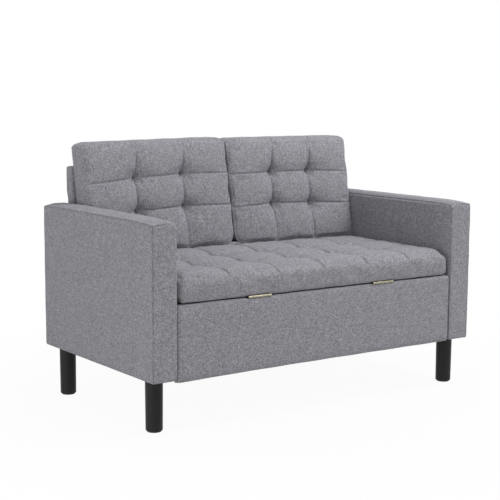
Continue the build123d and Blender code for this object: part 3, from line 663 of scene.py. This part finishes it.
# Lining under the seat: black spun-bonded cloth, stretched over the board's raw edge and stapled on three
# sides. It shows only while the seat is up.
lining_cloth, tree, shader = start_material("spun_bonded_lining", Roughness=0.9, Sheen_Weight=0.15)
place = add_node(tree, "ShaderNodeTexCoord").outputs["Object"]
dots = add_node(tree, "ShaderNodeTexVoronoi", {"Vector": place, "Scale": per_metre(2.0)[0]})
tree.links.new(ramp(tree, dots.outputs["Distance"], (0.1, "#141415"), (0.5, "#252527")),
               shader.inputs["Base Color"])
bump = add_node(tree, "ShaderNodeBump", {
    "Strength": 0.4, "Distance": 0.0003, "Height": dots.outputs["Distance"]})
tree.links.new(bump.outputs["Normal"], shader.inputs["Normal"])
low, high = (np.array(corner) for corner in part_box("seat_lining"))
wrap = Wrapped(grid_lines(low[0], high[0], 0.012), grid_lines(low[1], high[1], 0.012),
               grid_lines(low[2], high[2], 0.001))
wrap.round(np.full((2, 2, 2, 3), 0.0002))
lining = soft_piece("seat_lining_cloth", wrap.points, wrap.quads, wrap.weave(), lining_cloth)
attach(lining, "seat_lid")
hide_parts("seat_lining")


# Staples along the lining's two ends and rear edge: round steel wire, their crowns flat on the cloth. The
# front edge is held under the hinge leaves.
staple_tree = bpy.data.node_groups.new("stapled_edge", "GeometryNodeTree")
for socket_name, way, kind in (
        ("Edge", "INPUT", "NodeSocketGeometry"), ("Spacing", "INPUT", "NodeSocketFloat"),
        ("Crown", "INPUT", "NodeSocketFloat"), ("Wire", "INPUT", "NodeSocketFloat"),
        ("Staples", "OUTPUT", "NodeSocketGeometry")):
    staple_tree.interface.new_socket(socket_name, in_out=way, socket_type=kind)
given = add_node(staple_tree, "NodeGroupInput")
path = add_node(staple_tree, "GeometryNodeMeshToCurve", {"Mesh": given.outputs["Edge"]})
marks = add_node(staple_tree, "GeometryNodeCurveToPoints", {
    "Curve": path.outputs["Curve"], "Length": given.outputs["Spacing"]}, mode="LENGTH")
along = add_node(staple_tree, "FunctionNodeAlignRotationToVector", {
    "Vector": marks.outputs["Tangent"]}, axis="Z")
half_wire = add_node(staple_tree, "ShaderNodeMath", {
    0: given.outputs["Wire"], 1: 0.5}, operation="MULTIPLY")
crown_wire = add_node(staple_tree, "GeometryNodeMeshCylinder", {
    "Vertices": 10, "Radius": half_wire.outputs["Value"], "Depth": given.outputs["Crown"]})
placed = add_node(staple_tree, "GeometryNodeInstanceOnPoints", {
    "Points": marks.outputs["Points"], "Instance": crown_wire.outputs["Mesh"],
    "Rotation": along.outputs["Rotation"]})
real = add_node(staple_tree, "GeometryNodeRealizeInstances", {"Geometry": placed.outputs["Instances"]})
finished = add_node(staple_tree, "GeometryNodeSetMaterial", {
    "Geometry": real.outputs["Geometry"], "Material": zinc})
add_node(staple_tree, "NodeGroupOutput", {"Staples": finished.outputs["Geometry"]})

inset, first, wire = 0.009, 0.05, 0.0008
corners = [(low[0] + inset, low[1] + first), (low[0] + inset, high[1] - inset),
           (high[0] - inset, high[1] - inset), (high[0] - inset, low[1] + first)]
edge_mesh = bpy.data.meshes.new("stapled_edge")
edge_mesh.from_pydata([(x, y, low[2] - wire / 4) for x, y in corners], [(0, 1), (1, 2), (2, 3)], [])
edge = bpy.data.objects.new("stapled_edge", edge_mesh)
bpy.context.scene.collection.objects.link(edge)
stapling = edge.modifiers.new("staples", "NODES")
stapling.node_group = staple_tree
for item in staple_tree.interface.items_tree:
    if item.name in ("Spacing", "Crown", "Wire"):
        stapling[item.identifier] = {"Spacing": 0.045, "Crown": 0.010, "Wire": wire}[item.name]
depsgraph = bpy.context.evaluated_depsgraph_get()
staple_mesh = bpy.data.meshes.new_from_object(edge.evaluated_get(depsgraph))
bpy.data.objects.remove(edge)
bpy.data.meshes.remove(edge_mesh)
staples = bpy.data.objects.new("lining_staples", staple_mesh)
bpy.context.scene.collection.objects.link(staples)
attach(staples, "seat_lid")


# Back cushions: two loose boxed cushions, their fronts sewn in three by three squares and tied through at
# the four crossings. They lean on the top of the back, and the left one is fuller and crowds the other.
lean = math.tan(math.radians(10.6))
cushion_depth, crown, pillow, swell_room = 0.074, 0.014, 0.005, 0.003
tie_depth, tie_reach, crowding, column_slant = 0.030, 0.047, 0.013, 0.010
shoulder_drop, shoulder_reach, bottom_sag, welt_inset = 0.007, 0.035, 0.007, 0.004


def cushion_form(wrap, x_edges, z_edges, inner):
    """A cushion standing upright before its cover fills out, and how far each point faces forwards."""
    wrap.round(np.full((2, 2, 2, 3), (0.009, 0.008, 0.009)))
    x, y, z = wrap.flat.T
    across, up = (2 * (wrap.flat - wrap.low) / (wrap.high - wrap.low) - 1)[:, [0, 2]].T
    ahead = np.clip(-wrap.out[:, 1], 0, 1)
    dome = (1 - np.abs(across) ** 7) * (1 - np.abs(up) ** 7)
    full = quilting(x, x_edges) ** 0.8 * (0.5 + 0.5 * quilting(z, z_edges, 0.85) ** 0.5)
    ties = tied_down(x, z, x_edges[1:-1], z_edges[1:-1], tie_depth, tie_reach, nip=0.3)
    rise = crown * dome + pillow * full - ties
    to_outline = np.min([x - wrap.low[0], wrap.high[0] - x, z - wrap.low[2], wrap.high[2] - z], axis=0)
    from_edge = np.where(y - wrap.low[1] < 1e-6, to_outline, y - wrap.low[1])
    welt = sewn(from_edge, 0.0016, 0.0026) - sewn(from_edge - 0.007, 0.0012, 0.003)
    points = wrap.points + wrap.out * (welt + ripple(wrap.points, 0.0004, 100))[:, None]
    points[:, 1] -= rise * ahead
    middle, half = (wrap.low + wrap.high) / 2, (wrap.high - wrap.low) / 2
    corner_radius = np.where(up > 0, 0.012, np.where(across * inner > 0, 0.038, 0.020))[:, None]
    past = np.clip((np.abs(points - middle) - half + corner_radius) / corner_radius, 0, None)
    drawn_in = corner_radius * past * (1 - np.sqrt(np.clip(1 - past[:, [2, 1, 0]] ** 2 / 2, 0, 1)))
    points[:, [0, 2]] -= (np.sign(points - middle) * drawn_in)[:, [0, 2]]
    return points, ahead


# The level seams' heights above the cushion's foot are given at four places across, from left to right.
row_places = np.array([-1, -1 / 3, 1 / 3, 1])
for side_name, inner, ends, seam_shifts, lower_row, upper_row, top_tilt, stitch_depth, fold in (
        ("left", 1, (-0.003, crowding), (0, 0, -0.002, 0),
         (0.100, 0.117, 0.125, 0.122), (0.204, 0.218, 0.225, 0.222), 0.004, 0.0010, 0.007),
        ("right", -1, (crowding, 0.005), (0, 0.004, -0.006, 0),
         (0.110, 0.117, 0.113, 0.105), (0.217, 0.219, 0.218, 0.209), 0.0, 0.0024, 0.011)):
    low, high = (np.array(corner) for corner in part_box(f"{side_name}_cushion_cover"))
    front = high[1] - cushion_depth - lean * (high[2] - low[2])
    rear = front + cushion_depth
    low[0], high[0] = low[0] + ends[0], high[0] + ends[1]
    x_edges = np.linspace(low[0], high[0], 4) + seam_shifts
    z_edges = np.linspace(low[2], high[2], 4)
    x_seams, z_seams = x_edges[1:-1], z_edges[1:-1]
    coarse = Wrapped(strips(x_edges, 0.007), grid_lines(front, rear, 0.007), strips(z_edges, 0.007))
    points, ahead = cushion_form(coarse, x_edges, z_edges, inner)
    x, y, z = coarse.flat.T
    held = hold(y > front + 0.01, ahead > 0.6, to_nearest(x, x_seams), to_nearest(z, z_seams))
    move = filled_out(coarse, points, held, 3.0, 0.015, swell_room)
    edges = [low + welt_inset, high - welt_inset]
    wrap = Wrapped(grid_lines(low[0], high[0], 0.005, [*x_seams, *(e[0] for e in edges)], 0.0014, 7),
                   grid_lines(front, rear, 0.005, (front + welt_inset,), 0.0014),
                   grid_lines(low[2], high[2], 0.005, [*z_seams, *(e[2] for e in edges)], 0.0014, 7))
    points, ahead = cushion_form(wrap, x_edges, z_edges, inner)
    points += coarse.carried(move, wrap.flat)
    x, y, z = wrap.flat.T
    across, up = (2 * (wrap.flat - wrap.low) / (wrap.high - wrap.low) - 1)[:, [0, 2]].T
    creases = np.maximum(crease(to_nearest(x, x_seams), stitch_depth, 0.0026),
                         crease(to_nearest(z, z_seams), 0.0009, 0.0022))
    folds = pinched(x, z, x_seams, z_seams, fold)
    points[:, 1] += (creases + folds) * ease((ahead - 0.5) / 0.3)
    heights = [np.polyval(np.polyfit(row_places, row, 3), across) for row in (lower_row, upper_row)]
    heights = np.array([np.zeros(len(z)), *heights, np.full(len(z), high[2] - low[2])])
    strip = np.clip(np.searchsorted(z_edges, z) - 1, 0, 2)
    share = (z - z_edges[strip]) / (z_edges[strip + 1] - z_edges[strip])
    below, above = (np.take_along_axis(heights, k[None], 0)[0] for k in (strip, strip + 1))
    points[:, 2] += low[2] + below + share * (above - below) - z
    points[:, 2] -= bottom_sag * np.clip(-up, 0, 1) ** 4 * ease((rear - y) / cushion_depth)
    shoulder = shoulder_drop * ease(1 - (1 - np.abs(across)) * (high[0] - low[0]) / 2 / shoulder_reach)
    points[:, 2] += (top_tilt * across - shoulder) * np.clip(up, 0, 1) ** 3
    points[:, 0] += column_slant * np.clip(up, 0, 1) ** 1.5 * (1 - across ** 4)
    points[:, 1] += lean * (points[:, 2] - low[2])
    cushion = soft_piece(f"{side_name}_cushion", points, wrap.quads, wrap.weave(), grey_cloth)
    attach(cushion, f"{side_name}_cushion")
    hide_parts(f"{side_name}_cushion_cover", f"{side_name}_cushion_fill")


# Studio: a pale floor, soft even light from all round with a broad lamp overhead, and the camera at the
# photograph's viewing angle.
def aim(location, yaw, pitch, roll):
    """Camera matrix from a yaw right of +Y, a pitch downwards and a roll, in degrees."""
    yaw, pitch, roll = (math.radians(a) for a in (yaw, pitch, roll))
    forward = np.array([math.sin(yaw) * math.cos(pitch), math.cos(yaw) * math.cos(pitch), -math.sin(pitch)])
    right = np.array([math.cos(yaw), -math.sin(yaw), 0])
    up = np.cross(right, forward)
    turned_right = math.cos(roll) * right + math.sin(roll) * up
    turned_up = math.cos(roll) * up - math.sin(roll) * right
    matrix = np.eye(4)
    matrix[:3, 0], matrix[:3, 1], matrix[:3, 2], matrix[:3, 3] = turned_right, turned_up, -forward, location
    return Matrix(matrix.tolist())


scene = bpy.context.scene
scene.view_settings.view_transform = "Standard"
camera = bpy.data.objects.new("camera", bpy.data.cameras.new("camera"))
camera.data.sensor_width, camera.data.lens = 36, 90.462
camera.data.shift_x, camera.data.shift_y = 0.02518, 0.05031
camera.matrix_world = aim((-2.2749, -3.1699, 0.9485), 34.613, 8.609, 0.235)
scene.collection.objects.link(camera)
scene.camera = camera


def white_to_camera(tree):
    """1 for camera, glossy and transmission rays, which see plain white, and 0 for the light itself."""
    path = add_node(tree, "ShaderNodeLightPath")
    seen = add_node(tree, "ShaderNodeMath", {
        0: path.outputs["Is Camera Ray"], 1: path.outputs["Is Glossy Ray"]}, operation="MAXIMUM")
    seen = add_node(tree, "ShaderNodeMath", {
        0: seen.outputs["Value"], 1: path.outputs["Is Transmission Ray"]}, operation="MAXIMUM")
    return seen.outputs["Value"]


world = bpy.data.worlds.new("studio")
scene.world = world
world.use_nodes = True
tree = world.node_tree
sky = tree.nodes["Background"]
sky.inputs["Color"].default_value = linear("#ffffff")
strength = add_node(tree, "ShaderNodeMapRange", {
    "Value": white_to_camera(tree), "To Min": 0.53, "To Max": 1.0})
tree.links.new(strength.outputs["Result"], sky.inputs["Strength"])

for lamp_name, size, power, location, turn in (
        ("overhead_lamp", (2.0, 1.6), 56, (1.1, -1.0, 3.0), (18, 22, 0)),
        ("front_fill", (2.6, 1.2), 12, (0.8, -3.6, 1.0), (83, 0, 13)),
        ("side_fill", (2.0, 0.7), 21, (-3.2, -0.6, 0.45), (90, 0, -80))):
    lamp = bpy.data.objects.new(lamp_name, bpy.data.lights.new(lamp_name, "AREA"))
    lamp.data.shape, lamp.data.size, lamp.data.size_y, lamp.data.energy = "RECTANGLE", *size, power
    lamp.location = location
    lamp.rotation_euler = [math.radians(angle) for angle in turn]
    scene.collection.objects.link(lamp)

floor_material, tree, shader = start_material("pale_studio_floor", Roughness=0.9)
shader.inputs["Base Color"].default_value = linear("#cfcfcf")
glow = add_node(tree, "ShaderNodeEmission", {"Color": linear("#ffffff"), "Strength": 1.0})
place = add_node(tree, "ShaderNodeTexCoord").outputs["Object"]
away = add_node(tree, "ShaderNodeVectorMath", {0: place}, operation="LENGTH").outputs["Value"]
glow_share = add_node(tree, "ShaderNodeMapRange", {
    "Value": away, "From Min": 0.5, "From Max": 1.4, "To Min": 0.95, "To Max": 1.0})
seen = add_node(tree, "ShaderNodeMath", {
    0: white_to_camera(tree), 1: glow_share.outputs["Result"]}, operation="MULTIPLY")
mixed = add_node(tree, "ShaderNodeMixShader", {
    0: seen.outputs["Value"], 1: shader.outputs["BSDF"], 2: glow.outputs["Emission"]})
tree.links.new(mixed.outputs["Shader"], tree.nodes["Material Output"].inputs["Surface"])
floor_mesh = bpy.data.meshes.new("studio_floor")
reach = 12
floor_mesh.from_pydata([(-reach, -reach, 0), (reach, -reach, 0), (reach, reach, 0), (-reach, reach, 0)],
                       [], [(0, 1, 2, 3)])
floor_mesh.materials.append(floor_material)
floor = bpy.data.objects.new("studio_floor", floor_mesh)
scene.collection.objects.link(floor)
